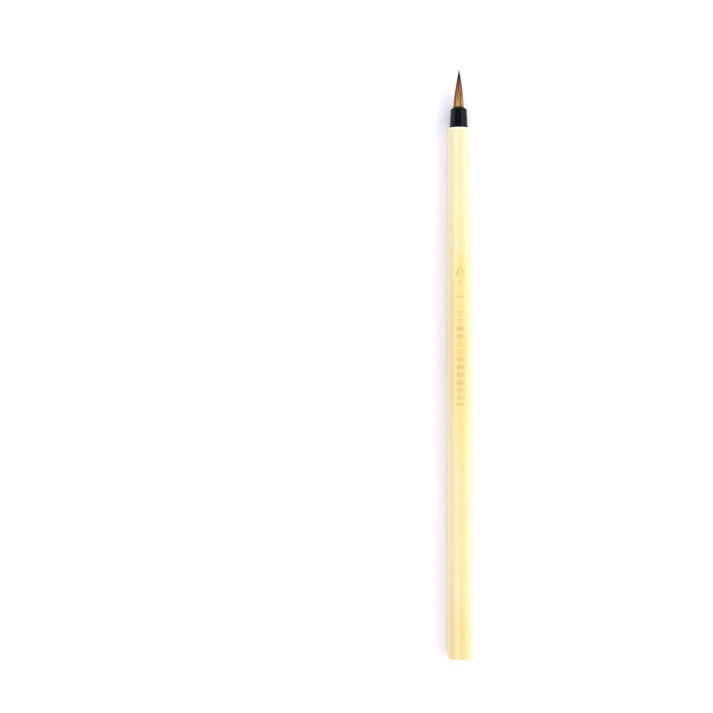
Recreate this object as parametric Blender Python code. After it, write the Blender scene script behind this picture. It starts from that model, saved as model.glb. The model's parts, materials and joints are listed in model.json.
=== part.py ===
"""Fine detail brush: a bamboo cane, a small black ferrule and a pointed tuft of brown hair.

The brush lies on a table along Y, its point towards +Y and the underside of its cane on Z = 0.
The cane and the ferrule are one glued body. The tuft bends at two places, the ferrule's mouth
and the middle of its free length, so its hairs are a belly and a point with a pivot each.

Every piece is drawn upright on the brush's own axis, at its height above the butt, and an
empty lays it down. Sizes are millimetres, and a mesh is scaled to metres when it is made.
"""

from math import asin, cos, pi, radians, sin, sqrt

import bmesh
import bpy
from mathutils import Matrix

MM = 0.001

# Lengths along the brush.
CANE_LENGTH = 215.95
FERRULE_LENGTH = 8.0
TUFT_LENGTH = 16.05
MOUTH = CANE_LENGTH + FERRULE_LENGTH
TIP = MOUTH + TUFT_LENGTH

# The room left between two pieces that touch, and round the ball of a bending piece.
GAP = 0.1
BELLY_ROOM = 0.15
POINT_ROOM = 0.2

# Cane: full width from the butt to the shoulder, then a slow taper.
CANE_RADIUS = 4.9
CANE_TAPER = ((116.0, 4.9), (146.0, 4.79), (170.0, 4.66), (203.0, 4.47), (215.2, 4.33))
CANE_TOP_RADIUS = 3.9
CANE_BEVEL = 0.4
PITH_RADIUS = 1.8
SOCKET_RADIUS = 2.8
SOCKET_DEPTH = 10.0
CANE_SIDES = 28

# Ferrule: a cup for the hair on a hollow shank that is glued into the cane.
BAND_RADIUS = 3.65
BAND_HEIGHT = 1.7
BODY_RADIUS = 3.56
MOUTH_RADIUS = 3.38
RIM_RADIUS = 2.65
RIM_DROP = 1.1
CUP_RADIUS = 2.3
CUP_DEPTH = 7.4
CUP_LIP = 0.6
SHANK_RADIUS = 2.35
SHANK_LENGTH = 9.0
SHANK_BORE = 1.2
WEB_THICKNESS = 2.2
SHANK_GROOVES = 3
FERRULE_SIDES = 36

# Root of the tuft, held in the cup.
ROOT_RADIUS = 1.75
SEAL_THICKNESS = 0.5
GLUE_FLOOR = 0.35
GLUE_COLLAR = 1.5
GLUE_SHORT = 0.4
THREAD_RADIUS = 0.15
THREAD_PITCH = 0.4
THREAD_TURNS = 7
THREAD_SIDES_PER_TURN = 20
THREAD_START = 2.0

# Free hair: the belly from the mouth to the second pivot, and the point from there.
TUFT_RADIUS = 2.1
TUFT_TAPER = 1.41
BELLY_LENGTH = 7.75
POINT_PIVOT = MOUTH + BELLY_LENGTH
CORE_SHARE = 0.48
COAT_SHARE = 0.55
LOCKS = 12
LOCK_CROWN = 0.05
HAIR_SIDES = 24
HAIR_STATIONS = 7
SEAT_ROUNDS = 30

WELD = 1e-7


def clear_scene():
    """Removes every object that the file opened with."""
    for thing in list(bpy.data.objects):
        bpy.data.objects.remove(thing)


def finish(name, colour, roughness):
    """A plain material of one colour, roughness and no metal."""
    material = bpy.data.materials.new(name)
    material.use_nodes = True
    shader = material.node_tree.nodes["Principled BSDF"]
    shader.inputs["Base Color"].default_value = (*colour, 1.0)
    shader.inputs["Roughness"].default_value = roughness
    shader.inputs["Metallic"].default_value = 0.0
    return material


def station(name, height, parent=None):
    """An empty on the brush's axis at that height above the butt."""
    empty = bpy.data.objects.new(name, None)
    bpy.context.scene.collection.objects.link(empty)
    below = parent["height"] if parent else 0.0
    empty.parent = parent
    empty.location = (0.0, 0.0, (height - below) * MM)
    empty["height"] = height
    return empty


def add_piece(name, bm, material, parent):
    """Makes an object of a bmesh drawn in millimetres above the butt, and hangs it on an empty."""
    bmesh.ops.remove_doubles(bm, verts=bm.verts, dist=WELD / MM)
    bmesh.ops.recalc_face_normals(bm, faces=bm.faces)
    bm.transform(Matrix.Scale(MM, 4) @ Matrix.Translation((0.0, 0.0, -parent["height"])))
    mesh = bpy.data.meshes.new(name)
    bm.to_mesh(mesh)
    bm.free()
    mesh.shade_smooth()
    mesh.set_sharp_from_angle(angle=radians(35))
    mesh.materials.append(material)
    piece = bpy.data.objects.new(name, mesh)
    bpy.context.scene.collection.objects.link(piece)
    piece.parent = parent
    return piece


def turned(name, outline, sides, material, parent):
    """Spins an outline of (radius, height) points about the axis.

    An outline that starts and ends on the axis makes a solid, and any other is a closed ring.
    A face, not an edge, of the many-sided solid looks towards the table.
    """
    bm = bmesh.new()
    corners = [bm.verts.new((radius, 0.0, height)) for radius, height in outline]
    edges = [bm.edges.new(pair) for pair in zip(corners, corners[1:])]
    if outline[0][0] > 0.0:
        edges.append(bm.edges.new((corners[-1], corners[0])))
    bmesh.ops.rotate(bm, verts=bm.verts, cent=(0, 0, 0), matrix=Matrix.Rotation(pi / sides, 3, "Z"))
    bmesh.ops.spin(
        bm,
        geom=corners + edges,
        cent=(0, 0, 0),
        axis=(0, 0, 1),
        angle=2 * pi,
        steps=sides,
        use_merge=True,
    )
    return add_piece(name, bm, material, parent)


def lofted(name, rings, material, parent):
    """Joins rings of equally many points into one closed solid with a cap at each end."""
    bm = bmesh.new()
    loops = [[bm.verts.new(point) for point in ring] for ring in rings]
    count = len(rings[0])
    for lower, upper in zip(loops, loops[1:]):
        for i in range(count):
            j = (i + 1) % count
            bm.faces.new((lower[i], lower[j], upper[j], upper[i]))
    bm.faces.new(list(reversed(loops[0])))
    bm.faces.new(loops[-1])
    return add_piece(name, bm, material, parent)


def arc(centre, width, height, start, end, steps):
    """Points of an elliptical arc about (radius, height), from one angle to another in degrees."""
    points = []
    for i in range(steps + 1):
        angle = radians(start + (end - start) * i / steps)
        points.append((centre[0] + width * cos(angle), centre[1] + height * sin(angle)))
    return points


def span(low, high, steps):
    """Evenly spaced numbers from low to high, both included."""
    return [low + (high - low) * i / steps for i in range(steps + 1)]


def tuft_radius(height):
    """Radius of the tuft at that height: full width up to the mouth, nothing at the tip."""
    gone = max(0.0, (height - MOUTH) / TUFT_LENGTH)
    return TUFT_RADIUS * (1.0 - gone**TUFT_TAPER)


def seat_height(share, pivot, ball):
    """Where the line at that share of the tuft's radius meets the ball's underside."""
    height = pivot
    for _ in range(SEAT_ROUNDS):
        radius = share * tuft_radius(height)
        height = pivot - sqrt(max(0.0, ball**2 - radius**2))
    return height


def seat_points(share, pivot, ball, steps):
    """Points of a ball's underside, from the axis out to that share of the tuft's radius."""
    heights = [(part, seat_height(part, pivot, ball)) for part in span(0.0, share, steps)]
    return [(part * tuft_radius(height), height) for part, height in heights]


def cane_handle(material, parent):
    """The cane: a tapered tube, with the pith's hole and a socket drilled for the ferrule."""
    socket_floor = CANE_LENGTH - SOCKET_DEPTH
    outside = [(CANE_RADIUS - CANE_BEVEL, 0.0), (CANE_RADIUS, CANE_BEVEL)]
    outside += [(radius, height) for height, radius in CANE_TAPER]
    outside += [(CANE_TOP_RADIUS, CANE_LENGTH)]
    inside = [
        (SOCKET_RADIUS + CANE_BEVEL / 2, CANE_LENGTH),
        (SOCKET_RADIUS, CANE_LENGTH - CANE_BEVEL / 2),
        (SOCKET_RADIUS, socket_floor),
        (PITH_RADIUS, socket_floor - (SOCKET_RADIUS - PITH_RADIUS)),
        (PITH_RADIUS, CANE_BEVEL / 2),
        (PITH_RADIUS + CANE_BEVEL / 2, 0.0),
    ]
    turned("cane_handle", outside + inside, CANE_SIDES, material, parent)


def ferrule(material, parent):
    """The ferrule: a cup with a rounded mouth, a band at its foot, and a grooved hollow shank."""
    foot = CANE_LENGTH + GAP
    cup_floor = MOUTH - CUP_DEPTH
    shank_end = CANE_LENGTH - SHANK_LENGTH
    edge = 0.15
    cup = [(0.0, cup_floor), (CUP_RADIUS, cup_floor)]
    lip = arc((RIM_RADIUS, MOUTH - CUP_LIP), RIM_RADIUS - CUP_RADIUS, CUP_LIP, 180, 90, 5)
    rim = arc((RIM_RADIUS, MOUTH - RIM_DROP), MOUTH_RADIUS - RIM_RADIUS, RIM_DROP, 90, 0, 7)
    band = [
        (BODY_RADIUS, foot + BAND_HEIGHT + edge),
        (BAND_RADIUS - edge / 4, foot + BAND_HEIGHT),
        (BAND_RADIUS, foot + edge),
        (BAND_RADIUS - edge, foot),
        (SHANK_RADIUS, foot),
    ]
    shank = []
    groove = SHANK_LENGTH / (2 * SHANK_GROOVES + 1)
    for i in range(SHANK_GROOVES):
        top = foot - groove * (2 * i + 1)
        shank += [
            (SHANK_RADIUS, top),
            (SHANK_RADIUS - edge, top - edge),
            (SHANK_RADIUS - edge, top - groove + edge),
            (SHANK_RADIUS, top - groove),
        ]
    hollow = [
        (SHANK_RADIUS, shank_end + edge),
        (SHANK_RADIUS - edge, shank_end),
        (SHANK_BORE, shank_end),
        (SHANK_BORE, cup_floor - WEB_THICKNESS),
        (0.0, cup_floor - WEB_THICKNESS),
    ]
    turned("ferrule", cup + lip + rim[1:] + band + shank + hollow, FERRULE_SIDES, material, parent)


def sleeve(name, inner, outer, low, high, material, parent):
    """A plain tube round the axis."""
    outline = [(inner, low), (outer, low), (outer, high), (inner, high)]
    turned(name, outline, HAIR_SIDES, material, parent)


def root_glue(floor, material, parent):
    """The glue: a thin floor under the knot and a collar round its lowest part."""
    inner = ROOT_RADIUS + GAP
    outer = CUP_RADIUS - GAP
    outline = [
        (0.0, floor),
        (outer, floor),
        (outer, floor + GLUE_COLLAR),
        (inner, floor + GLUE_COLLAR),
        (inner, floor + GLUE_FLOOR),
        (0.0, floor + GLUE_FLOOR),
    ]
    turned("root_glue", outline, HAIR_SIDES, material, parent)


def hair_root(foot, material, parent):
    """The bound butts of the hairs, hollowed on top for the belly's ball to turn in."""
    dish = seat_points(ROOT_RADIUS / TUFT_RADIUS, MOUTH, TUFT_RADIUS + BELLY_ROOM, 6)
    outline = [(0.0, foot), (ROOT_RADIUS, foot)] + list(reversed(dish))
    turned("hair_root", outline, HAIR_SIDES, material, parent)


def root_thread(foot, material, parent):
    """The thread, wound round the root in one close coil."""
    radius = ROOT_RADIUS + GAP + THREAD_RADIUS
    steps = THREAD_TURNS * THREAD_SIDES_PER_TURN
    curve = bpy.data.curves.new("root_thread", "CURVE")
    curve.dimensions = "3D"
    curve.bevel_depth = THREAD_RADIUS * MM
    curve.bevel_resolution = 1
    curve.use_fill_caps = True
    spline = curve.splines.new("POLY")
    spline.points.add(steps)
    for i, point in enumerate(spline.points):
        angle = 2 * pi * i / THREAD_SIDES_PER_TURN
        height = foot + THREAD_PITCH * i / THREAD_SIDES_PER_TURN
        place = (radius * cos(angle), radius * sin(angle), height - parent["height"])
        point.co = (*(MM * x for x in place), 1.0)
    curve.materials.append(material)
    thread = bpy.data.objects.new("root_thread", curve)
    bpy.context.scene.collection.objects.link(thread)
    thread.parent = parent


def core_hairs(material, parent):
    """The middle of the belly: a ball seat below, a dish for the point's ball above."""
    base = seat_points(CORE_SHARE, MOUTH, TUFT_RADIUS, 4)
    ball = tuft_radius(POINT_PIVOT) + POINT_ROOM
    dish = seat_points(CORE_SHARE, POINT_PIVOT, ball, 4)
    heights = span(base[-1][1], dish[-1][1], HAIR_STATIONS)[1:-1]
    sides = [(CORE_SHARE * tuft_radius(height), height) for height in heights]
    turned("core_hairs", base + sides + list(reversed(dish)), HAIR_SIDES, material, parent)


def coat_lock(number, material, parent):
    """One lock of the coat: a crowned strip of the belly, from its ball seat to the point's dish."""
    middle = 2 * pi * (number - 1) / LOCKS
    ball = tuft_radius(POINT_PIVOT) + POINT_ROOM
    corners = [(COAT_SHARE, side) for side in (1, 0, -1)]
    corners += [(1.0, side) for side in (-1, -0.5, 0, 0.5, 1)]
    rings = []
    for i in range(HAIR_STATIONS + 1):
        ring = []
        for share, side in corners:
            low = seat_height(share, MOUTH, TUFT_RADIUS)
            high = seat_height(share, POINT_PIVOT, ball)
            height = low + (high - low) * i / HAIR_STATIONS
            radius = share * tuft_radius(height) * (1.0 - LOCK_CROWN * side**2)
            angle = middle + side * (pi / LOCKS - asin(GAP / 2 / radius))
            ring.append((radius * cos(angle), radius * sin(angle), height))
        rings.append(ring)
    lofted(f"coat_lock_{number:02d}", rings, material, parent)


def point_hairs(material, parent):
    """The point: a ball at its pivot and a long taper to the tip."""
    base = seat_points(1.0, POINT_PIVOT, tuft_radius(POINT_PIVOT), 7)
    heights = span(POINT_PIVOT, TIP, 2 * HAIR_STATIONS)
    sides = [(tuft_radius(height), height) for height in heights[1:-1]]
    turned("point_hairs", base + sides + [(0.0, TIP)], HAIR_SIDES, material, parent)


def build():
    """Makes the whole brush."""
    clear_scene()
    bamboo = finish("bamboo", (0.86, 0.74, 0.42), 0.45)
    black_plastic = finish("black_plastic", (0.012, 0.014, 0.016), 0.22)
    glue = finish("glue", (0.72, 0.55, 0.22), 0.3)
    resin = finish("resin", (0.35, 0.16, 0.05), 0.35)
    thread = finish("thread", (0.78, 0.74, 0.66), 0.8)
    hair = finish("hair", (0.30, 0.15, 0.05), 0.6)
    hair_tip = finish("hair_tip", (0.09, 0.045, 0.02), 0.6)

    axis = station("brush_axis", 0.0)
    axis.location = (0.0, -TIP / 2 * MM, CANE_RADIUS * cos(pi / CANE_SIDES) * MM)
    axis.rotation_euler = (-pi / 2, 0.0, 0.0)
    belly_pivot = station("belly_pivot", MOUTH, axis)
    point_pivot = station("point_pivot", POINT_PIVOT, belly_pivot)

    cane_handle(bamboo, axis)
    ferrule(black_plastic, axis)
    sleeve(
        "ferrule_glue",
        SHANK_RADIUS + GAP,
        SOCKET_RADIUS - GAP,
        CANE_LENGTH - SHANK_LENGTH + GAP,
        CANE_LENGTH - GLUE_SHORT,
        glue,
        axis,
    )
    glue_floor = MOUTH - CUP_DEPTH + GAP
    seal_floor = glue_floor + GLUE_FLOOR + GAP
    root_foot = seal_floor + SEAL_THICKNESS + GAP
    root_glue(glue_floor, glue, axis)
    seal_top = seal_floor + SEAL_THICKNESS
    seal = [(0.0, seal_floor), (ROOT_RADIUS, seal_floor), (ROOT_RADIUS, seal_top), (0.0, seal_top)]
    turned("root_seal", seal, HAIR_SIDES, resin, axis)
    hair_root(root_foot, hair, axis)
    root_thread(glue_floor + THREAD_START, thread, axis)

    core_hairs(hair, belly_pivot)
    for number in range(1, LOCKS + 1):
        coat_lock(number, hair, belly_pivot)
    point_hairs(hair_tip, point_pivot)


build()
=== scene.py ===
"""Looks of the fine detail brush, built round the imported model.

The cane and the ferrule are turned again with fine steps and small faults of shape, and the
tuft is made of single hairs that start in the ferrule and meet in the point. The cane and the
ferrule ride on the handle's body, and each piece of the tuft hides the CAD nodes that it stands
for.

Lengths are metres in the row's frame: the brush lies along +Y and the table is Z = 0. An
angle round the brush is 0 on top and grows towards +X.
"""

import json
import math

import bmesh
import bpy
import numpy as np
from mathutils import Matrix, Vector


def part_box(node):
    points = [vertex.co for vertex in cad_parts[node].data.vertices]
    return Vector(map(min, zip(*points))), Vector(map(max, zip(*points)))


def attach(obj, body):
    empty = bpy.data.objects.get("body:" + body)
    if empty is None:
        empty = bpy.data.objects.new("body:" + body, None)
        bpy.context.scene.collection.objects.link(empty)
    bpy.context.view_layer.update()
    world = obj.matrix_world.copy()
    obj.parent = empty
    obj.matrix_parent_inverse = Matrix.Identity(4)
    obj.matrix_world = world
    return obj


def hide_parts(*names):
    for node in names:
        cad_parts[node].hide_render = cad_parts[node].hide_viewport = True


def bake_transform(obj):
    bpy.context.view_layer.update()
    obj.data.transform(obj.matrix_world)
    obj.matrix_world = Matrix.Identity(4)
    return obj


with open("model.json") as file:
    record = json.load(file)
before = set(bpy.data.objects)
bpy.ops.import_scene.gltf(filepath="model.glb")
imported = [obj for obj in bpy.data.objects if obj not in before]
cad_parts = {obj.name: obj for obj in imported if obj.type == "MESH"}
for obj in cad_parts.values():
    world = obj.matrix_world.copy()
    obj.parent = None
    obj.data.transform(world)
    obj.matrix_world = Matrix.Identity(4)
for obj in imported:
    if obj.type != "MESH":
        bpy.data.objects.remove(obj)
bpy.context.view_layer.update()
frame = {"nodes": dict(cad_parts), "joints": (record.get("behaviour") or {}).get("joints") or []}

MM = 0.001

# Places, from the frame.
CANE_LOW, CANE_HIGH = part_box("cane_handle")
AXIS_Z = (CANE_LOW.z + CANE_HIGH.z) / 2
BUTT, CANE_END = CANE_LOW.y, CANE_HIGH.y
CANE_RADIUS = (CANE_HIGH.z - CANE_LOW.z) / 2
SHANK_END, MOUTH = (corner.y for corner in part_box("ferrule"))
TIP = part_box("point_hairs")[1].y
POINT_PIVOT = next(j["pos_m"][1] for j in frame["joints"] if j["name"] == "point_bend")

# Cane: distance from the butt and radius, as in the CAD.
CANE_TAPER = ((0.0, 4.9), (116.0, 4.9), (146.0, 4.79), (170.0, 4.66), (203.0, 4.47), (215.2, 4.33))
CANE_TOP_RADIUS = 3.9 * MM
CANE_BEVEL = 0.4 * MM
PITH_RADIUS = 1.8 * MM
SOCKET_RADIUS = 2.8 * MM
SOCKET_DEPTH = 10.0 * MM
CANE_BOW = 0.25 * MM
CANE_SIDES = 180
CANE_STEP = 1.2 * MM
PITH_STEPS = 12

# Faults of the cane's shape: they grow from nothing at one radius, over a short way outwards.
FAULTS_FROM = 3.2 * MM
FAULTS_FADE = 0.6 * MM
OVAL = 0.018 * MM
SWELL = 0.012 * MM
SWELL_LENGTH = 0.031
PLANING = 0.010 * MM

# Ferrule: heights are measured down from its mouth.
BAND_RADIUS = 3.65 * MM
BAND_HEIGHT = 1.7 * MM
BODY_RADIUS = 3.56 * MM
MOUTH_RADIUS = 3.38 * MM
RIM_RADIUS = 2.65 * MM
RIM_DROP = 1.1 * MM
CUP_RADIUS = 2.3 * MM
CUP_DEPTH = 7.4 * MM
CUP_LIP = 0.6 * MM
FOOT_GAP = 0.1 * MM
SHANK_RADIUS = 2.35 * MM
SHANK_BORE = 1.2 * MM
WEB_THICKNESS = 2.2 * MM
FERRULE_SIDES = 128

# Tuft.
TUFT_RADIUS = 2.20 * MM
TUFT_LENGTH = TIP - MOUTH
TUFT_TAPER = 1.41
POINT_RADIUS = 0.05 * MM
TUFT_LEAN = 0.18 * MM
LOCKS = 12
HAIRS_PER_LOCK = 46
CORE_HAIRS = 150
STRAY_HAIRS = 9
HAIR_RADIUS = 0.045 * MM
HAIR_SIDES = 5
HAIR_START = MOUTH - 1.2 * MM
SPLIT = POINT_PIVOT - 2.3 * MM
LOWER_RINGS = 15
UPPER_RINGS = 19
UNDER_SHARE = 0.86
LOCK_GROOVE = 0.03
FINE_GROOVE = 0.02
UNDER_SIDES = 96
UNDER_LOWER_RINGS = 24
UNDER_UPPER_RINGS = 30
UNDER_END = TIP - 0.3 * MM

# The stretches of y at each joint of the tuft.
BELLY_BEND = (MOUTH - 2.4 * MM, MOUTH + 3.0 * MM)
POINT_BEND = (SPLIT, SPLIT + 4.8 * MM)

# Picture: how much of the frame the brush fills, and where it lies from the frame's centre.
BRUSH_SHARE = 0.8278
BRUSH_RIGHT = 0.1442
BRUSH_DOWN = 0.0109
CAMERA_ROLL = -0.147
CAMERA_HEIGHT = 0.75
SENSOR = 36.0

# Light: the room's strength and how far it leans to the right, and how bright its band near the
# table and its top look in a shiny surface.
ROOM_LIGHT = 1.20
ROOM_LEAN = 0.14
ROOM_BAND = 1.3
ROOM_TOP = 0.12


# ---------------------------------------------------------------- meshes


def add_object(name, verts, faces, materials, kinds=None, sharp=40):
    """A smooth-shaded mesh object; kinds holds each face's place in the list of materials."""
    mesh = bpy.data.meshes.new(name)
    mesh.from_pydata(verts, [], faces)
    for material in materials:
        mesh.materials.append(material)
    if kinds is not None:
        mesh.polygons.foreach_set("material_index", kinds)
    mesh.shade_smooth()
    mesh.set_sharp_from_angle(angle=math.radians(sharp))
    mesh.update()
    piece = bpy.data.objects.new(name, mesh)
    bpy.context.scene.collection.objects.link(piece)
    return piece


def face_outward(piece):
    """Turns every face of a closed mesh to look out."""
    bm = bmesh.new()
    bm.from_mesh(piece.data)
    bmesh.ops.recalc_face_normals(bm, faces=bm.faces)
    bm.to_mesh(piece.data)
    bm.free()


def turned(name, outline, sides, materials, shape=None, sharp=40):
    """Turns an outline of (radius, y, kind of the face that follows) about the brush's axis.

    The outline is a closed ring. shape(radii, angles, ys) returns the radii of a piece that
    isn't quite round.
    """
    radii = np.array([point[0] for point in outline])[:, None]
    ys = np.array([point[1] for point in outline])[:, None]
    angles = np.linspace(0, 2 * np.pi, sides, endpoint=False)[None, :]
    radii = np.broadcast_to(radii, (len(outline), sides))
    if shape:
        radii = shape(radii, angles, ys)
    x = radii * np.sin(angles)
    z = AXIS_Z + radii * np.cos(angles)
    y = np.broadcast_to(ys, x.shape)
    verts = np.stack([x, y, z], axis=-1).reshape(-1, 3)
    faces = []
    kinds = []
    count = len(outline)
    for i in range(count):
        low, high = i * sides, (i + 1) % count * sides
        for j in range(sides):
            k = (j + 1) % sides
            faces.append((low + j, low + k, high + k, high + j))
            kinds.append(outline[i][2])
    piece = add_object(name, verts.tolist(), faces, materials, kinds, sharp)
    face_outward(piece)
    return piece


def arc(centre, width, height, start, end, steps):
    """Points of an elliptical arc about (radius, y), from one angle to another in degrees."""
    turns = np.radians(np.linspace(start, end, steps + 1))
    return [(centre[0] + width * math.cos(t), centre[1] + height * math.sin(t)) for t in turns]


# ---------------------------------------------------------------- materials


class Graph:
    """A material and short calls for the nodes that it is made of."""

    def __init__(self, name):
        self.material = bpy.data.materials.new(name)
        self.material.use_nodes = True
        self.tree = self.material.node_tree
        self.shader = self.tree.nodes["Principled BSDF"]

    def feed(self, socket, value):
        """Links a socket to another, or sets its value."""
        if isinstance(value, bpy.types.NodeSocket):
            self.tree.links.new(value, socket)
        elif isinstance(value, tuple) and socket.type == "RGBA":
            socket.default_value = (*value, 1.0)
        else:
            socket.default_value = value

    def add(self, kind, inputs=(), **settings):
        """A node with its settings and inputs, given by name or by number."""
        node = self.tree.nodes.new(kind)
        for key, value in settings.items():
            setattr(node, key, value)
        for key, value in dict(inputs).items():
            self.feed(node.inputs[key], value)
        return node

    def shade(self, **values):
        """Sets or links the shader's own sockets, named with _ for a space."""
        for key, value in values.items():
            self.feed(self.shader.inputs[key.replace("_", " ")], value)
        return self.material

    def math(self, operation, a, b=0.0, c=0.0):
        inputs = {0: a, 1: b, 2: c}
        return self.add("ShaderNodeMath", inputs, operation=operation).outputs[0]

    def place(self, stretch=(1.0, 1.0, 1.0)):
        """The point on the surface in millimetres, with each direction scaled."""
        point = self.add("ShaderNodeTexCoord").outputs["Object"]
        scale = tuple(x / MM for x in stretch)
        inputs = {0: point, 1: scale}
        return self.add("ShaderNodeVectorMath", inputs, operation="MULTIPLY").outputs[0]

    def split(self, vector):
        return self.add("ShaderNodeSeparateXYZ", {0: vector}).outputs

    def noise(self, vector, scale, detail, roughness):
        inputs = {
            "Vector": vector,
            "Scale": scale,
            "Detail": detail,
            "Roughness": roughness,
        }
        return self.add("ShaderNodeTexNoise", inputs).outputs["Fac"]

    def voronoi(self, vector, scale):
        inputs = {"Vector": vector, "Scale": scale}
        return self.add("ShaderNodeTexVoronoi", inputs).outputs["Distance"]

    def remap(self, value, low, high, to_low=0.0, to_high=1.0):
        inputs = {0: value, 1: low, 2: high, 3: to_low, 4: to_high}
        return self.add("ShaderNodeMapRange", inputs).outputs[0]

    def ramp(self, factor, stops):
        """A colour ramp from (place, colour) stops."""
        node = self.add("ShaderNodeValToRGB", {0: factor})
        elements = node.color_ramp.elements
        while len(elements) < len(stops):
            elements.new(0.5)
        for element, (place, colour) in zip(elements, stops):
            element.position = place
            element.color = (*colour, 1.0)
        return node.outputs[0]

    def mix(self, factor, a, b):
        """Two colours mixed."""
        node = self.add("ShaderNodeMix", data_type="RGBA", clamp_result=True)
        self.feed(node.inputs["Factor"], factor)
        self.feed(node.inputs["A"], a)
        self.feed(node.inputs["B"], b)
        return node.outputs["Result"]

    def bump(self, height, distance, strength=1.0):
        inputs = {"Height": height, "Distance": distance, "Strength": strength}
        return self.add("ShaderNodeBump", inputs).outputs["Normal"]

    def attribute(self, name):
        return self.add("ShaderNodeAttribute", attribute_name=name).outputs["Fac"]


def bamboo_skin():
    """Pale planed bamboo: long fibres, faint blotches, small brown flecks and a worn print, with
    painted highlights and painted shade in streaks along its top and a painted shade down its
    middle.
    """
    g = Graph("bamboo_skin")
    x, y, z = g.split(g.place())
    along = g.remap(y, BUTT / MM, CANE_END / MM)
    tone = g.ramp(along, CANE_COLOURS)
    fibres = g.noise(g.place((1.0, 0.014, 1.0)), 4.2, 4.0, 0.62)
    bands = g.noise(g.place((1.0, 0.006, 1.0)), 0.75, 2.0, 0.5)
    blotch = g.noise(g.place((1.0, 0.25, 1.0)), 0.16, 3.0, 0.55)
    flecks = g.noise(g.place((1.0, 0.07, 1.0)), 5.5, 1.0, 0.4)
    tone = g.mix(g.remap(bands, 0.35, 0.7, 0.0, 0.32), tone, (0.70, 0.50, 0.20))
    tone = g.mix(g.remap(fibres, 0.42, 0.72, 0.0, 0.30), tone, (0.62, 0.42, 0.17))
    tone = g.mix(g.remap(fibres, 0.30, 0.46, 0.22, 0.0), tone, (0.90, 0.86, 0.62))
    tone = g.mix(g.remap(blotch, 0.50, 0.75, 0.0, 0.22), tone, (0.66, 0.46, 0.19))
    tone = g.mix(g.remap(flecks, 0.70, 0.78, 0.0, 0.45), tone, (0.36, 0.21, 0.08))
    painted_shade, mark = print_and_painted_shade(g, x, y, z)
    # Painted highlights and painted shade: soft pale and dark streaks fixed across the top of the
    # cane.
    for middle, strength, colour in PAINTED_LIGHT_STREAKS:
        painted_streak = g.remap(g.math("ABSOLUTE", g.math("SUBTRACT", x, middle)), PAINTED_STREAK_EDGE, PAINTED_STREAK_CORE)
        patchy = g.remap(blotch, 0.3, 0.7, 0.8 * strength, 1.2 * strength)
        tone = g.mix(g.math("MULTIPLY", painted_streak, patchy), tone, colour)
    # Painted shade: the deeper yellow down the middle of the top.
    tone = g.mix(g.math("MULTIPLY", painted_shade, PAINTED_SHADE_STRENGTH), tone, PAINTED_SHADE_COLOUR)
    worn = g.noise(g.place((1.0, 0.6, 1.0)), 2.4, 3.0, 0.6)
    inking = g.noise(g.place((0.05, 1.0, 0.05)), 0.42, 2.0, 0.5)
    worn = g.remap(worn, 0.35, 0.6, 0.5, 1.0)
    inking = g.remap(inking, 0.36, 0.62, 0.25, 0.95)
    ink = g.math("MULTIPLY", worn, inking)
    tone = g.mix(g.math("MULTIPLY", mark, ink), tone, INK_COLOUR)
    rough = g.remap(fibres, 0.3, 0.7, 0.34, 0.52)
    height = g.math("ADD", g.math("MULTIPLY", fibres, 0.7), g.math("MULTIPLY", flecks, -0.3))
    return g.shade(
        Base_Color=tone,
        Roughness=rough,
        Normal=g.bump(height, 0.02 * MM, 0.8),
        Sheen_Weight=0.9,
        Sheen_Roughness=0.4,
    )


# The bare cane's colour from the butt to the ferrule.
CANE_COLOURS = (
    (0.00, (0.70, 0.55, 0.230)),
    (0.05, (0.69, 0.53, 0.205)),
    (0.14, (0.73, 0.59, 0.305)),
    (0.25, (0.735, 0.60, 0.310)),
    (0.42, (0.735, 0.61, 0.305)),
    (0.52, (0.695, 0.54, 0.255)),
    (0.61, (0.68, 0.56, 0.260)),
    (0.70, (0.695, 0.585, 0.270)),
    (0.80, (0.70, 0.645, 0.330)),
    (0.89, (0.72, 0.68, 0.400)),
    (0.98, (0.72, 0.675, 0.420)),
)

# The plain printed mark: a lozenge, a bar and a row of dashes, at these distances from the butt.
LOZENGE_AT = 156.2
LOZENGE_HALF = 4.6
BAR_AT = 147.2
BAR_HALF = 0.45
DASHES = (103.0, 141.5)
DASH_PITCH = 3.1
DASH_DUTY = 0.62
PRINT_HALF = 1.6
PRINT_RIGHT = 0.3
# Painted shade: a deeper yellow band down the middle of the top, over these distances from the butt,
# where the lights' gloss doesn't whiten the cane; then how strong it is and its colour.
PAINTED_SHADE_SPAN = (84.0, 164.0)
PAINTED_SHADE_STRENGTH = 0.5
PAINTED_SHADE_COLOUR = (0.76, 0.56, 0.136)
INK_COLOUR = (0.60, 0.40, 0.10)

# Painted highlights and painted shade along the top of the cane: the two pale soft streaks stand for
# the gloss of the lights on its flanks, the darker one for the dimmer middle between them. Each
# row gives where across it, how strong and of what colour; each fades out between these
# distances from its middle.
PAINTED_STREAK_EDGE = 1.5
PAINTED_STREAK_CORE = 0.3
PAINTED_LIGHT_STREAKS = (
    (-1.45, 0.41, (0.86, 0.80, 0.50)),
    (1.3, 0.14, (0.60, 0.42, 0.16)),
    (3.7, 0.17, (0.86, 0.84, 0.52)),
)


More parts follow.
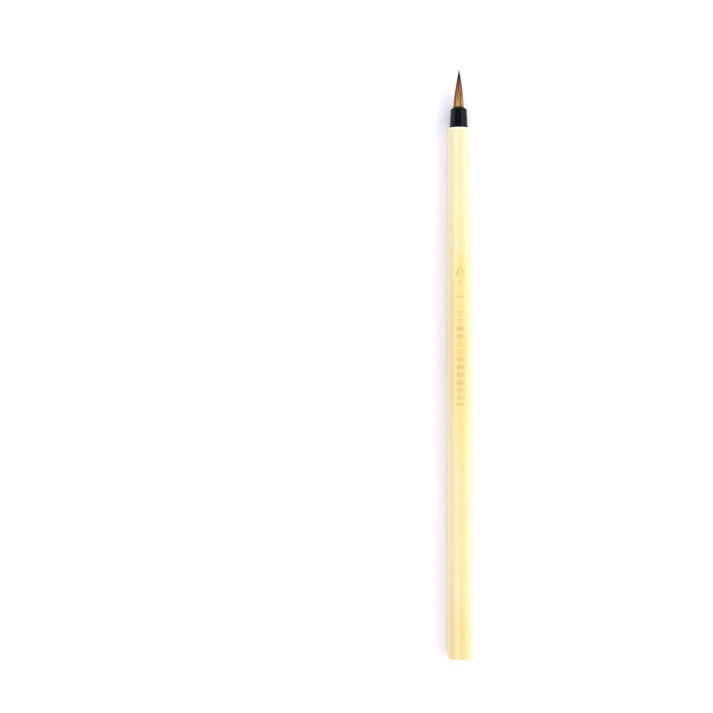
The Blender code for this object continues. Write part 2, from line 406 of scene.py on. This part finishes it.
def print_and_painted_shade(g, x, y, z):
    """A painted shade down the middle of the cane's top, a deeper yellow where the lights' gloss
    doesn't reach, and the printed mark, from 0 to 1 each.
    """
    distance = g.math("SUBTRACT", y, BUTT / MM)
    angle = g.math("ARCTAN2", x, g.math("SUBTRACT", z, AXIS_Z / MM))
    side = g.math("SUBTRACT", g.math("MULTIPLY", angle, CANE_RADIUS / MM), PRINT_RIGHT)
    side = g.math("ABSOLUTE", side)
    narrow = g.math("LESS_THAN", side, PRINT_HALF)
    lozenge = g.math("ABSOLUTE", g.math("SUBTRACT", distance, LOZENGE_AT))
    lozenge = g.math("MULTIPLY", lozenge, 1.0 / LOZENGE_HALF)
    lozenge = g.math("ADD", lozenge, g.math("MULTIPLY", side, 1.0 / (PRINT_HALF + 0.5)))
    ring = g.math("COMPARE", lozenge, 0.75, 0.25)
    dot = g.math("LESS_THAN", lozenge, 0.2)
    bar = g.math("MULTIPLY", g.math("COMPARE", distance, BAR_AT, BAR_HALF), narrow)
    step = g.math("FRACT", g.math("DIVIDE", distance, DASH_PITCH))
    dashes = g.math("MULTIPLY", g.math("LESS_THAN", step, DASH_DUTY), narrow)
    middle = (DASHES[0] + DASHES[1]) / 2
    reach = (DASHES[1] - DASHES[0]) / 2
    dashes = g.math("MULTIPLY", dashes, g.math("COMPARE", distance, middle, reach))
    mark = g.math("MAXIMUM", g.math("MAXIMUM", ring, dot), g.math("MAXIMUM", bar, dashes))
    # The painted shade: a band down the middle of the top, faded out at its sides and ends.
    painted_shade = g.remap(side, PRINT_HALF + 0.9, PRINT_HALF - 0.4)
    painted_shade = g.math("MULTIPLY", painted_shade, g.remap(distance, PAINTED_SHADE_SPAN[0] - 12, PAINTED_SHADE_SPAN[0] + 12))
    painted_shade = g.math("MULTIPLY", painted_shade, g.remap(distance, PAINTED_SHADE_SPAN[1] + 2, PAINTED_SHADE_SPAN[1] - 2))
    return painted_shade, mark


def bamboo_cut():
    """The sawn ends and bevels: pale, with the brown dots of the fibre bundles."""
    g = Graph("bamboo_cut")
    cells = g.voronoi(g.place((1.0, 0.05, 1.0)), 1.9)
    dots = g.remap(cells, 0.18, 0.30, 0.55, 0.0)
    grain = g.noise(g.place(), 3.0, 4.0, 0.6)
    tone = g.ramp(grain, ((0.3, (0.80, 0.72, 0.52)), (0.7, (0.92, 0.88, 0.74))))
    tone = g.mix(dots, tone, (0.42, 0.26, 0.11))
    saw = g.noise(g.place((0.4, 1.0, 5.0)), 1.3, 2.0, 0.5)
    height = g.math("ADD", g.math("MULTIPLY", saw, 0.6), g.math("MULTIPLY", grain, 0.5))
    return g.shade(Base_Color=tone, Roughness=0.75, Normal=g.bump(height, 0.04 * MM, 0.7))


def bamboo_pith():
    """The inside of the cane: soft, dull and stringy."""
    g = Graph("bamboo_pith")
    strings = g.noise(g.place((1.0, 0.05, 1.0)), 2.4, 4.0, 0.65)
    tone = g.ramp(strings, ((0.3, (0.42, 0.30, 0.15)), (0.7, (0.68, 0.56, 0.36))))
    return g.shade(Base_Color=tone, Roughness=0.9, Normal=g.bump(strings, 0.08 * MM, 0.8))


def black_plastic():
    """Gloss black moulded plastic with faint flow marks, fine scratches and a little dust."""
    g = Graph("black_plastic")
    cloud = g.noise(g.place(), 0.9, 3.0, 0.5)
    scratch = g.noise(g.place((1.0, 14.0, 1.0)), 1.6, 3.0, 0.7)
    dust = g.noise(g.place(), 7.0, 2.0, 0.5)
    tone = g.ramp(cloud, ((0.3, (0.002, 0.003, 0.0035)), (0.7, (0.0045, 0.0055, 0.006))))
    tone = g.mix(g.remap(dust, 0.68, 0.76, 0.0, 0.12), tone, (0.16, 0.16, 0.15))
    scratched = g.remap(scratch, 0.6, 0.8, 0.0, 0.1)
    rough = g.math("ADD", g.remap(cloud, 0.3, 0.7, 0.16, 0.24), scratched)
    height = g.math("ADD", cloud, g.math("MULTIPLY", scratch, 0.12))
    return g.shade(
        Base_Color=tone,
        Roughness=rough,
        Normal=g.bump(height, 0.02 * MM, 0.5),
        Specular_IOR_Level=0.13,
    )


def hair(name, gloss):
    """Hair coloured along its length, paler or deeper by each hair's own tone, with painted shade on
    the roots at the ferrule's mouth. On the coat the tones also paint shade on the tuft's left side
    and a highlight near its top.
    """
    g = Graph(name)
    along = g.attribute("along")
    tone = g.attribute("tone")
    place = g.add("ShaderNodeCombineXYZ", {0: g.math("MULTIPLY", tone, 37.0), 1: along}).outputs[0]
    patch = g.noise(place, 5.0, 3.0, 0.6)
    shift = g.math("MULTIPLY", g.math("SUBTRACT", tone, 0.5), 0.12)
    drift = g.math("MULTIPLY", g.math("SUBTRACT", patch, 0.5), 0.16)
    where = g.math("ADD", g.math("ADD", along, shift), drift)
    middle, pale, deep, dark = (g.ramp(where, stops) for stops in HAIR_COLOURS)
    colour = g.mix(g.remap(tone, 0.50, 0.85), middle, pale)
    colour = g.mix(g.remap(tone, 0.48, 0.22), colour, deep)
    colour = g.mix(g.remap(tone, 0.24, 0.04), colour, dark)
    # Painted shade: the hairs turn near black over the last few hundredths of their free length and
    # inside the ferrule, standing for the shade of its rim at the mouth.
    painted_mouth_shade = g.remap(g.math("ADD", along, g.math("MULTIPLY", drift, 0.15)), 0.045, 0.018, 0.0, 0.93)
    colour = g.mix(painted_mouth_shade, colour, (0.030, 0.012, 0.004))
    scales = g.noise(place, 60.0, 1.0, 0.5)
    return g.shade(
        Base_Color=colour,
        Roughness=g.remap(patch, 0.3, 0.7, gloss, gloss + 0.14),
        Normal=g.bump(scales, 0.004 * MM, 0.5),
        Specular_IOR_Level=0.18,
    )


# Colours along the free hair, for hairs of middling, pale, deep and dark tone. They all end
# in the same dark point.
HAIR_COLOURS = (
    (
        (0.00, (0.52, 0.30, 0.10)),
        (0.22, (0.44, 0.21, 0.06)),
        (0.42, (0.37, 0.155, 0.05)),
        (0.56, (0.24, 0.10, 0.035)),
        (0.68, (0.13, 0.06, 0.022)),
        (0.80, (0.035, 0.020, 0.009)),
        (1.00, (0.018, 0.011, 0.007)),
    ),
    (
        (0.00, (0.72, 0.50, 0.20)),
        (0.22, (0.60, 0.36, 0.12)),
        (0.42, (0.50, 0.24, 0.11)),
        (0.56, (0.30, 0.14, 0.06)),
        (0.68, (0.16, 0.08, 0.035)),
        (0.80, (0.040, 0.024, 0.011)),
        (1.00, (0.018, 0.011, 0.007)),
    ),
    (
        (0.00, (0.42, 0.20, 0.045)),
        (0.22, (0.33, 0.125, 0.016)),
        (0.42, (0.22, 0.070, 0.008)),
        (0.56, (0.16, 0.060, 0.012)),
        (0.68, (0.10, 0.043, 0.014)),
        (0.80, (0.030, 0.017, 0.008)),
        (1.00, (0.018, 0.011, 0.007)),
    ),
    (
        (0.00, (0.17, 0.085, 0.034)),
        (0.22, (0.15, 0.068, 0.025)),
        (0.42, (0.115, 0.038, 0.018)),
        (0.56, (0.095, 0.035, 0.017)),
        (0.68, (0.07, 0.030, 0.014)),
        (0.80, (0.025, 0.014, 0.007)),
        (1.00, (0.018, 0.011, 0.007)),
    ),
)


def hair_bundle():
    """The bound root, which the ferrule hides: packed hair ends."""
    g = Graph("hair_bundle")
    lines = g.noise(g.place((1.0, 0.03, 1.0)), 9.0, 3.0, 0.6)
    tone = g.ramp(lines, ((0.3, (0.17, 0.09, 0.035)), (0.7, (0.48, 0.30, 0.13))))
    return g.shade(Base_Color=tone, Roughness=0.55, Normal=g.bump(lines, 0.04 * MM, 0.9))


def winding_thread():
    """Undyed cotton thread with its twist."""
    g = Graph("winding_thread")
    inputs = {"Vector": g.place((1.0, 3.0, 1.0)), "Scale": 2.2, "Distortion": 1.5}
    wave = g.add("ShaderNodeTexWave", inputs)
    fuzz = g.noise(g.place(), 14.0, 2.0, 0.6)
    height = g.math("ADD", wave.outputs["Fac"], g.math("MULTIPLY", fuzz, 0.4))
    tone = g.ramp(height, ((0.2, (0.55, 0.50, 0.41)), (0.9, (0.84, 0.80, 0.71))))
    return g.shade(
        Base_Color=tone,
        Roughness=0.85,
        Normal=g.bump(height, 0.03 * MM, 0.9),
        Sheen_Weight=0.3,
    )


def set_glue(name, deep, pale, rough):
    """Set glue or resin: tinted, glossy, with small bubbles."""
    g = Graph(name)
    flow = g.noise(g.place(), 1.1, 3.0, 0.55)
    bubbles = g.remap(g.voronoi(g.place(), 2.6), 0.08, 0.16, 1.0, 0.0)
    tone = g.mix(bubbles, g.ramp(flow, ((0.3, deep), (0.7, pale))), pale)
    height = g.math("SUBTRACT", flow, g.math("MULTIPLY", bubbles, 0.5))
    return g.shade(
        Base_Color=tone,
        Roughness=g.remap(flow, 0.3, 0.7, rough, rough + 0.15),
        Normal=g.bump(height, 0.05 * MM, 0.7),
        Transmission_Weight=0.15,
    )


def floor_paper():
    """Plain white paper with a faint tooth."""
    g = Graph("floor_paper")
    tooth = g.noise(g.place(), 1.5, 3.0, 0.5)
    tone = g.ramp(tooth, ((0.2, (0.85, 0.83, 0.905)), (0.8, (0.865, 0.845, 0.92))))
    return g.shade(Base_Color=tone, Roughness=0.9, Specular_IOR_Level=0.1)


# ---------------------------------------------------------------- cane


def cane_radius(distance):
    """The cane's radius at a distance from its butt, through the CAD's own points."""
    places = [place * MM for place, _ in CANE_TAPER]
    radii = [radius / CANE_TAPER[0][1] * CANE_RADIUS for _, radius in CANE_TAPER]
    return float(np.interp(distance, places, radii))


def cane_faults():
    """A function that makes the turned cane a little oval, planed and fibrous."""
    rng = np.random.default_rng(11)
    planes = [(n, rng.uniform(0, 2 * np.pi), PLANING) for n in (5, 7, 9)]
    ridges = [
        (n, rng.uniform(0, 2 * np.pi), rng.uniform(0.0015, 0.0045) * MM, rng.uniform(-9, 9))
        for n in (17, 21, 26, 31, 35, 40, 46, 51, 57, 63, 70, 77)
    ]

    def shape(radii, angles, ys):
        skin = np.clip((radii - FAULTS_FROM) / FAULTS_FADE, 0, 1)
        change = OVAL * (np.cos(2 * angles - 1.1) - 1)
        change = change + SWELL * (np.sin(ys / SWELL_LENGTH + 0.4) - 1)
        for n, phase, size in planes:
            change = change + size * (np.cos(n * angles + phase + ys * 3) - 1)
        for n, phase, size, drift in ridges:
            change = change + size * np.cos(n * angles + phase + ys * drift)
        return radii + skin * change

    return shape


def cane_outline():
    """The cane's closed outline: skin, sawn end at the ferrule, socket, pith hole and butt."""
    skin, cut, bore = 0, 1, 2
    length = CANE_END - BUTT
    bevel_top = CANE_TAPER[-1][0] * MM
    corner = 0.12 * MM
    centre = (CANE_RADIUS - CANE_BEVEL, CANE_BEVEL)
    bevel = arc(centre, CANE_BEVEL, CANE_BEVEL, -90, 0, 6)
    points = [(r, y, cut) for r, y in bevel]
    points[-1] = (*points[-1][:2], skin)
    steps = int((bevel_top - CANE_BEVEL) / CANE_STEP)
    for i in range(1, steps + 1):
        distance = CANE_BEVEL + (bevel_top - CANE_BEVEL) * i / steps
        points.append((cane_radius(distance), distance, skin))
    points[-1] = (*points[-1][:2], cut)
    top = cane_radius(bevel_top)
    width, height = top - CANE_TOP_RADIUS, length - bevel_top
    points += [(r, y, cut) for r, y in arc((CANE_TOP_RADIUS, bevel_top), width, height, 15, 90, 6)]
    points += [
        (SOCKET_RADIUS + corner, length, cut),
        (SOCKET_RADIUS, length - corner, bore),
        (SOCKET_RADIUS, length - SOCKET_DEPTH, bore),
        (PITH_RADIUS, length - SOCKET_DEPTH - (SOCKET_RADIUS - PITH_RADIUS), bore),
    ]
    for i in range(1, PITH_STEPS):
        points.append((PITH_RADIUS, length * (1 - i / PITH_STEPS), bore))
    points += [(PITH_RADIUS, 2 * corner, cut), (PITH_RADIUS + corner, 0.0, cut)]
    return [(r, BUTT + y, kind) for r, y, kind in points]


def make_cane():
    materials = [bamboo_skin(), bamboo_cut(), bamboo_pith()]
    cane = turned("cane", cane_outline(), CANE_SIDES, materials, cane_faults(), sharp=50)
    for corner in cane.data.vertices:
        corner.co.x += CANE_BOW * math.sin(math.pi * (corner.co.y - BUTT) / (CANE_END - BUTT))
    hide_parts("cane_handle")
    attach(cane, "handle")


# ---------------------------------------------------------------- ferrule


def ferrule_outline():
    """The ferrule's closed outline: cup, rolled lip, drafted body, band, foot and shank."""
    foot = CANE_END + FOOT_GAP - MOUTH
    shank = SHANK_END - MOUTH
    soft = 0.12 * MM
    hub = 0.02 * MM
    points = [(hub, -CUP_DEPTH), (CUP_RADIUS - soft, -CUP_DEPTH)]
    points += arc((CUP_RADIUS - soft, soft - CUP_DEPTH), soft, soft, -90, 0, 3)[1:]
    points += [(CUP_RADIUS, -CUP_DEPTH * share) for share in (0.8, 0.6, 0.4, 0.2)]
    points += arc((RIM_RADIUS, -CUP_LIP), RIM_RADIUS - CUP_RADIUS, CUP_LIP, 180, 90, 14)
    points += arc((RIM_RADIUS, -RIM_DROP), MOUTH_RADIUS - RIM_RADIUS, RIM_DROP, 90, 0, 20)[1:]
    body_low = foot + BAND_HEIGHT
    for share in np.linspace(0, 1, 9)[1:]:
        radius = MOUTH_RADIUS + (BODY_RADIUS - MOUTH_RADIUS) * share**1.15
        points.append((radius, -RIM_DROP + (body_low + 0.16 * MM + RIM_DROP) * share))
    points += [
        (BODY_RADIUS - 0.012 * MM, body_low + 0.13 * MM),
        (BODY_RADIUS, body_low + 0.07 * MM),
        (BAND_RADIUS - 0.05 * MM, body_low + 0.02 * MM),
        (BAND_RADIUS - 0.025 * MM, body_low - 0.06 * MM),
        (BAND_RADIUS - 0.015 * MM, (body_low + foot) / 2),
    ]
    points += arc((BAND_RADIUS - soft, foot + soft), soft, soft, 0, -90, 6)
    points += [(SHANK_RADIUS + soft, foot), (SHANK_RADIUS, foot - soft)]
    points += [(SHANK_RADIUS, shank + soft), (SHANK_RADIUS - soft, shank), (SHANK_BORE, shank)]
    points += [(SHANK_BORE, -CUP_DEPTH - WEB_THICKNESS), (hub, -CUP_DEPTH - WEB_THICKNESS)]
    return [(radius, MOUTH + height, 0) for radius, height in points]


def make_ferrule():
    ferrule = turned("ferrule_cap", ferrule_outline(), FERRULE_SIDES, [black_plastic()], sharp=60)
    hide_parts("ferrule")
    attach(ferrule, "handle")


# ---------------------------------------------------------------- tuft


def gone(ys):
    """How far along its free length the tuft is at y: 0 at the mouth and 1 at the tip."""
    return np.clip((ys - MOUTH) / TUFT_LENGTH, 0, 1)


def tuft_radius(ys):
    """The tuft's radius at y: it tapers to a point as thick as a few hairs."""
    part = gone(ys)
    return TUFT_RADIUS * (1 - part**TUFT_TAPER) + POINT_RADIUS * part**3


class Hairs:
    """The course of many hairs: an angle and a share of the tuft's radius at each height."""

    def __init__(self, count, rng):
        self.count = count
        self.tone = rng.uniform(0, 1, count)
        self.thick = HAIR_RADIUS * rng.uniform(0.75, 1.15, count)
        self.wander = rng.normal(0, 0.05, count)
        self.phase = rng.uniform(0, 2 * np.pi, count)

    def set_course(self, middle, half, offset, share, end, lift, twist):
        """middle and half are the lock's angles, offset runs from -1 to 1 across it, share is the
        part of the radius, end the y of the hair's tip, lift how far a stray stands off and
        twist how far the angle turns on the way to the tip."""
        self.middle = middle
        self.half = half
        self.offset = offset
        self.share = share
        self.end = end
        self.lift = lift
        self.twist = twist

    def course(self, ys):
        """Centres (hairs, rings, 3) and radii (hairs, rings) of the hairs at y (hairs, rings)."""
        part = gone(ys)
        # A lock draws together most a little below the middle of its free length.
        pinch = 0.10 + 0.42 * np.sin(np.pi * np.clip(part * 1.15, 0, 1)) ** 1.5
        angle = self.middle[:, None] + self.twist[:, None] * part
        angle = angle + self.offset[:, None] * self.half * (1 - pinch)
        angle = angle + self.wander[:, None] * np.sin(5 * part + self.phase[:, None])
        own = (ys - HAIR_START) / (self.end[:, None] - HAIR_START)
        own = np.clip(own, 0, 1)
        thick = self.thick[:, None] * (0.85 + 0.3 * own) * np.clip((1.02 - own) / 0.3, 0.25, 1)
        crown = 1 - 0.05 * self.offset[:, None] ** 2 * pinch / 0.5
        radius = np.maximum(tuft_radius(ys) - thick, 0) * self.share[:, None] * crown
        radius = radius + self.lift[:, None] * own**2
        x = radius * np.sin(angle) + TUFT_LEAN * part
        z = AXIS_Z + radius * np.cos(angle)
        return np.stack([x, ys, z], axis=-1), thick, angle


def hair_mesh(name, hairs, low, high, rings, material):
    """Tubes along the hairs from y low to high, or to each hair's end where high is None.

    Every ring lies in a plane of constant y, so the tubes of the belly and of the point
    share the ring at the plane where they meet.
    """
    end = hairs.end if high is None else np.full(hairs.count, high)
    spread = np.linspace(0, 1, rings)
    ys = low + (end[:, None] - low) * spread[None, :]
    centres, thick, angle = hairs.course(ys)
    corner = np.linspace(0, 2 * np.pi, HAIR_SIDES, endpoint=False)
    turn = angle[:, :, None] + corner[None, None, :]
    verts = np.repeat(centres[:, :, None, :], HAIR_SIDES, axis=2)
    verts[..., 0] += thick[:, :, None] * np.sin(turn)
    verts[..., 2] += thick[:, :, None] * np.cos(turn)
    verts = verts.reshape(-1, 3)
    faces = []
    for hair_number in range(hairs.count):
        first = hair_number * rings * HAIR_SIDES
        for ring in range(rings - 1):
            base = first + ring * HAIR_SIDES
            for i in range(HAIR_SIDES):
                j = (i + 1) % HAIR_SIDES
                faces.append((base + i, base + HAIR_SIDES + i, base + HAIR_SIDES + j, base + j))
        last = first + (rings - 1) * HAIR_SIDES
        faces.append(tuple(first + i for i in range(HAIR_SIDES)))
        faces.append(tuple(last + i for i in reversed(range(HAIR_SIDES))))
    along = np.repeat(gone(ys).reshape(-1), HAIR_SIDES)
    tone = np.repeat(hairs.tone, rings * HAIR_SIDES)
    piece = add_object(name, verts.tolist(), faces, [material], sharp=75)
    add_attributes(piece, along, tone)
    return piece


def add_attributes(piece, along, tone):
    """Stores what the hair material reads: the place along the tuft and the hair's tone."""
    for key, values in (("along", along), ("tone", tone)):
        attribute = piece.data.attributes.new(key, "FLOAT", "POINT")
        attribute.data.foreach_set("value", np.asarray(values, np.float32))


# How pale the coat is all the way round, in equal steps from the top towards +X. A lock spans two.
# Partly the hairs' own tones, partly painted light: the run of dark tones on the left (-X) side is
# painted shade, and the pale one just left of the top a painted highlight.
COAT_TONES_AND_PAINTED_LIGHT = (
    0.50, 0.08, 0.50, 0.66, 0.80, 0.72, 0.46, 0.20, 0.55, 0.74, 0.42, 0.16,
    0.52, 0.78, 0.44, 0.22, 0.60, 0.36, 0.24, 0.12, 0.06, 0.14, 0.90, 0.72,
)


def lock_hairs(number, rng):
    """The hairs of one coat lock."""
    hairs = Hairs(HAIRS_PER_LOCK, rng)
    count = hairs.count
    middle = 2 * np.pi * (number - 1) / LOCKS + rng.normal(0, 0.03)
    lean = rng.normal(0, 0.13)
    half = np.pi / LOCKS * 1.08
    offset = rng.uniform(-1, 1, count)
    # Each hair takes the tone of its place round the tuft, which paints shade on the left side and a
    # highlight just left of the top.
    step = (middle + half * offset) / (2 * np.pi) * len(COAT_TONES_AND_PAINTED_LIGHT)
    own = np.interp(step % len(COAT_TONES_AND_PAINTED_LIGHT), range(len(COAT_TONES_AND_PAINTED_LIGHT) + 1), [*COAT_TONES_AND_PAINTED_LIGHT, COAT_TONES_AND_PAINTED_LIGHT[0]])
    hairs.tone = np.clip(own + (hairs.tone - 0.5) * 0.34, 0, 1)
    hairs.set_course(
        middle=np.full(count, middle),
        half=half,
        offset=offset,
        share=1 - 0.11 * rng.uniform(0, 1, count) ** 2,
        end=MOUTH + TUFT_LENGTH * (1 - 0.32 * rng.uniform(0, 1, count) ** 2.2),
        lift=np.zeros(count),
        twist=np.full(count, lean),
    )
    return hairs


def inner_hairs(rng):
    """The hairs under the coat, which come out near the tip and make the point."""
    hairs = Hairs(CORE_HAIRS, rng)
    count = hairs.count
    hairs.tone = hairs.tone * 0.5
    hairs.set_course(
        middle=rng.uniform(0, 2 * np.pi, count),
        half=0.0,
        offset=np.zeros(count),
        share=rng.uniform(0.15, 0.85, count),
        end=MOUTH + TUFT_LENGTH * (1 - 0.10 * rng.uniform(0, 1, count) ** 2.5),
        lift=np.zeros(count),
        twist=rng.normal(0, 0.2, count),
    )
    return hairs


def stray_hairs(rng):
    """A few hairs that stand off the tuft."""
    hairs = Hairs(STRAY_HAIRS, rng)
    count = hairs.count
    hairs.thick = hairs.thick * 0.6
    hairs.set_course(
        middle=rng.uniform(0, 2 * np.pi, count),
        half=0.0,
        offset=np.zeros(count),
        share=np.full(count, 0.99),
        end=MOUTH + TUFT_LENGTH * rng.uniform(0.55, 0.9, count),
        lift=rng.uniform(0.05, 0.22, count) * MM,
        twist=rng.normal(0, 0.25, count),
    )
    return hairs


# The values that each hair has of its own.
HAIR_VALUES = (
    "tone", "thick", "wander", "phase", "middle", "offset", "share", "end", "lift", "twist",
)


def join(hair_sets, rng):
    """One set of hairs made of several."""
    joined = Hairs(sum(h.count for h in hair_sets), rng)
    for key in HAIR_VALUES:
        setattr(joined, key, np.concatenate([getattr(h, key) for h in hair_sets]))
    halves = [np.full(h.count, h.half) for h in hair_sets]
    joined.half = np.concatenate(halves)[:, None]
    return joined


def under_coat(name, low, high, rings, material):
    """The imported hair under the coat, as one grooved solid that no light passes through."""
    sides = UNDER_SIDES
    ys = np.linspace(low, high, rings)[:, None]
    angles = np.linspace(0, 2 * np.pi, sides, endpoint=False)[None, :]
    groove = LOCK_GROOVE * np.cos(LOCKS * angles)
    groove = groove + FINE_GROOVE * np.cos(31 * angles + 60 * gone(ys))
    radii = tuft_radius(ys) * (UNDER_SHARE + groove * (1 - gone(ys)))
    radii = np.maximum(radii, 0.01 * MM)
    x = radii * np.sin(angles) + TUFT_LEAN * gone(ys)
    z = AXIS_Z + radii * np.cos(angles)
    y = np.broadcast_to(ys, x.shape)
    verts = np.stack([x, y, z], axis=-1).reshape(-1, 3)
    faces = []
    for ring in range(rings - 1):
        for i in range(sides):
            j = (i + 1) % sides
            base, above = ring * sides, (ring + 1) * sides
            faces.append((base + i, above + i, above + j, base + j))
    faces.append(tuple(range(sides)))
    faces.append(tuple(reversed(range((rings - 1) * sides, rings * sides))))
    piece = add_object(name, verts.tolist(), faces, [material], sharp=75)
    tone = np.broadcast_to(0.12 + 0.1 * np.cos(17 * angles), x.shape)
    along = np.broadcast_to(gone(ys), x.shape)
    add_attributes(piece, along.reshape(-1), tone.reshape(-1))
    return piece


def bend(piece, slot, bodies, reach, *nodes):
    """Hides the CAD nodes that a piece of the tuft stands for and bakes the piece's transform into
    its mesh.
    """
    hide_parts(*nodes)
    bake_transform(piece)


def make_tuft():
    rng = np.random.default_rng(5)
    coat = hair("coat_hair", 0.34)
    under = hair("under_hair", 0.5)
    lower, upper = ("handle", "belly"), ("belly", "point")
    locks = []
    for number in range(1, LOCKS + 1):
        hairs = lock_hairs(number, rng)
        locks.append(hairs)
        piece = hair_mesh(f"lock_{number:02d}_hairs", hairs, HAIR_START, SPLIT, LOWER_RINGS, coat)
        bend(piece, "hair", lower, BELLY_BEND, f"coat_lock_{number:02d}")
    inner = inner_hairs(rng)
    strays = stray_hairs(rng)
    piece = hair_mesh("belly_inner_hairs", inner, HAIR_START, SPLIT, LOWER_RINGS, under)
    bend(piece, "hair", lower, BELLY_BEND, "core_hairs")
    piece = under_coat("belly_under_coat", HAIR_START, SPLIT, UNDER_LOWER_RINGS, under)
    bend(piece, "hair", lower, BELLY_BEND, "core_hairs")
    piece = hair_mesh("belly_stray_hairs", strays, HAIR_START, SPLIT, LOWER_RINGS, coat)
    bend(piece, "hair", lower, BELLY_BEND, "core_hairs")
    everything = join([*locks, inner, strays], rng)
    piece = hair_mesh("point_fine_hairs", everything, SPLIT, None, UPPER_RINGS, coat)
    bend(piece, "hair_tip", upper, POINT_BEND, "point_hairs")
    piece = under_coat("point_under_coat", SPLIT, UNDER_END, UNDER_UPPER_RINGS, under)
    bend(piece, "hair_tip", upper, POINT_BEND, "point_hairs")


# ---------------------------------------------------------------- hidden pieces


def dress_inside():
    """Gives the CAD pieces inside the ferrule their own finishes."""
    glue = set_glue("amber_glue", (0.50, 0.33, 0.10), (0.78, 0.60, 0.26), 0.2)
    resin = set_glue("root_resin", (0.20, 0.08, 0.025), (0.42, 0.20, 0.07), 0.25)
    finishes = {
        "ferrule_glue": glue,
        "root_glue": glue,
        "root_seal": resin,
        "root_thread": winding_thread(),
        "hair_root": hair_bundle(),
    }
    for node, material in finishes.items():
        mesh = frame["nodes"][node].data
        mesh.materials.clear()
        mesh.materials.append(material)


# ---------------------------------------------------------------- stage


def make_floor():
    half = 1.0
    low = -0.02 * MM
    corners = [(-half, -half, low), (half, -half, low), (half, half, low), (-half, half, low)]
    floor = add_object("floor", corners, [(0, 1, 2, 3)], [floor_paper()])


def add_light(name, place, size, power, colour):
    """A rectangular softbox that faces the middle of the brush."""
    light = bpy.data.lights.new(name, "AREA")
    light.shape = "RECTANGLE"
    light.size, light.size_y = size
    light.energy = power
    light.color = colour
    lamp = bpy.data.objects.new(name, light)
    lamp.location = place
    lamp.rotation_mode = "QUATERNION"
    lamp.rotation_quaternion = (-Vector(place)).to_track_quat("-Z", "Y")
    lamp.visible_camera = False
    bpy.context.scene.collection.objects.link(lamp)


def make_light():
    """A softbox on the right, a faint strip on the left and a room that is brighter on the right.

    In a shiny surface the room shows as a bright band near the table and is dark above it.
    """
    add_light("right_softbox", (1.05, 0.05, 0.85), (1.3, 0.75), 8.2, (1.0, 0.99, 0.97))
    add_light("left_strip", (-1.1, 0.0, 0.48), (1.2, 0.08), 2.2, (1.0, 1.0, 1.0))
    world = bpy.data.worlds.new("world")
    bpy.context.scene.world = world
    world.use_nodes = True
    tree = world.node_tree
    tree.nodes.clear()

    def add(kind, inputs):
        node = tree.nodes.new(kind)
        for key, value in inputs.items():
            if isinstance(value, bpy.types.NodeSocket):
                tree.links.new(value, node.inputs[key])
            else:
                node.inputs[key].default_value = value
        return node

    rays = add("ShaderNodeLightPath", {}).outputs
    way = add("ShaderNodeTexCoord", {}).outputs["Generated"]
    way = add("ShaderNodeSeparateXYZ", {0: way}).outputs
    low, high = ROOM_LIGHT * (1 - ROOM_LEAN), ROOM_LIGHT * (1 + ROOM_LEAN)
    soft = add("ShaderNodeMapRange", {0: way["X"], 1: -1.0, 2: 1.0, 3: low, 4: high}).outputs[0]
    shiny = add("ShaderNodeMapRange", {0: way["Z"], 1: 0.05, 2: 0.5, 3: ROOM_BAND, 4: ROOM_TOP})
    strength = add("ShaderNodeMix", {0: rays["Is Glossy Ray"], 2: soft, 3: shiny.outputs[0]})
    tint = (0.98, 0.99, 1.0, 1.0)
    room = add("ShaderNodeBackground", {0: tint, 1: strength.outputs[0]}).outputs[0]
    backdrop = add("ShaderNodeBackground", {0: (1.0, 1.0, 1.0, 1.0), 1: 1.0}).outputs[0]
    seen = add("ShaderNodeMixShader", {0: rays["Is Camera Ray"], 1: room, 2: backdrop})
    add("ShaderNodeOutputWorld", {0: seen.outputs[0]})


def make_camera():
    """Looks straight down from above the middle of the picture, with the point at the top."""
    across = (TIP - BUTT) / BRUSH_SHARE
    camera = bpy.data.objects.new("camera", bpy.data.cameras.new("camera"))
    camera.data.sensor_width = SENSOR
    camera.data.lens = SENSOR * CAMERA_HEIGHT / across
    camera.data.clip_start = 0.01
    middle = (TIP + BUTT) / 2
    camera.location = (-BRUSH_RIGHT * across, middle + BRUSH_DOWN * across, AXIS_Z + CAMERA_HEIGHT)
    camera.rotation_euler.z = math.radians(CAMERA_ROLL)
    bpy.context.scene.collection.objects.link(camera)
    bpy.context.scene.camera = camera


make_camera()
make_light()
make_floor()
make_cane()
make_ferrule()
make_tuft()
dress_inside()
bpy.context.scene.view_settings.view_transform = "Standard"
